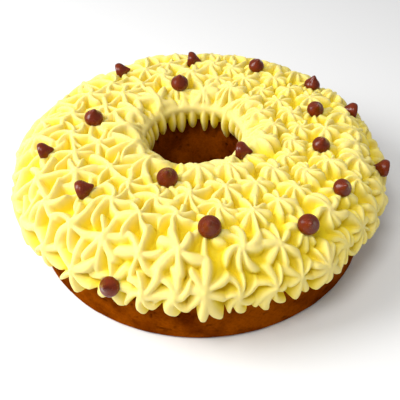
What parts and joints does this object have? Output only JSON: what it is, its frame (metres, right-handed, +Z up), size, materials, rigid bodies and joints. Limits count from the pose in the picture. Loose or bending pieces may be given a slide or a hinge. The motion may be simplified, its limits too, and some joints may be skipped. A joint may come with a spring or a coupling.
{
  "type": "ring cake",
  "caption": "Ring cake with an open middle, coated over its top and shoulders with cream piped in small ridged stars and dotted with chocolate drops, for slicing and serving.",
  "frame": {"origin": "under the middle of the baked ring, on the plane it stands on", "axes": "+Z up out of the cake's top, -Y to the side that faces the camera in the picture, +X to the right in the picture"},
  "size_m": [0.2368, 0.2361, 0.0775],
  "materials": {
    "crust": "baked brown crust, matte",
    "cream": "soft yellow cream, low sheen",
    "chocolate": "milk chocolate, satin"
  },
  "bodies": {
    "root": {"cake": "crust", "frosting": "cream", "chocolate_drop_01": "chocolate", "chocolate_drop_02": "chocolate", "chocolate_drop_03": "chocolate", "chocolate_drop_04": "chocolate", "chocolate_drop_05": "chocolate", "chocolate_drop_06": "chocolate", "chocolate_drop_07": "chocolate", "chocolate_drop_08": "chocolate", "chocolate_drop_09": "chocolate", "chocolate_drop_10": "chocolate", "chocolate_drop_11": "chocolate", "chocolate_drop_12": "chocolate", "chocolate_drop_13": "chocolate", "chocolate_drop_14": "chocolate", "chocolate_drop_15": "chocolate", "chocolate_drop_16": "chocolate", "chocolate_drop_17": "chocolate", "chocolate_drop_18": "chocolate", "chocolate_drop_19": "chocolate", "chocolate_drop_20": "chocolate"}
  },
  "joints": []
}
